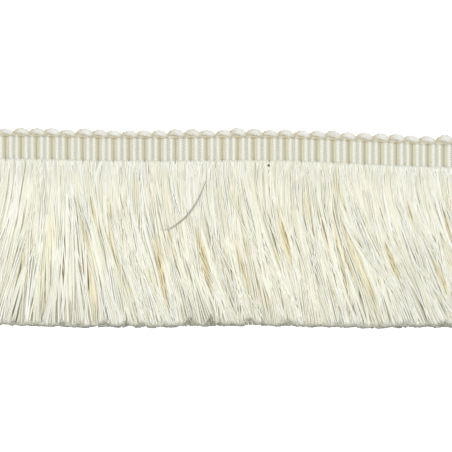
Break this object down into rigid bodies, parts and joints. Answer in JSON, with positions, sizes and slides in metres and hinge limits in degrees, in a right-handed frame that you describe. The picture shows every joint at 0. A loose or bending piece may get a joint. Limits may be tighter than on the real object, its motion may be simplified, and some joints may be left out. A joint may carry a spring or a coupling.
{
  "type": "moss fringe trim",
  "caption": "Cut length of thick cream fringe trim with a ribbed woven heading, a looped yarn edge and a dense combed skirt of cut yarn, lying flat.",
  "frame": {"origin": "middle of the heading's flat back, on the surface that the trim lies on", "axes": "+X along the trim, +Y from the skirt towards the looped edge, +Z out of the front"},
  "size_m": [0.138, 0.0497, 0.0054],
  "materials": {
    "heading_weave": "ribbed weave of lustrous yarn",
    "loop_yarn": "twisted plied yarn",
    "fringe_yarn": "silky cut yarn"
  },
  "bodies": {
    "root": {"heading": "heading_weave", "looped_edge": "loop_yarn", "fringe_back": "fringe_yarn", "fringe_front": "fringe_yarn"}
  },
  "joints": []
}
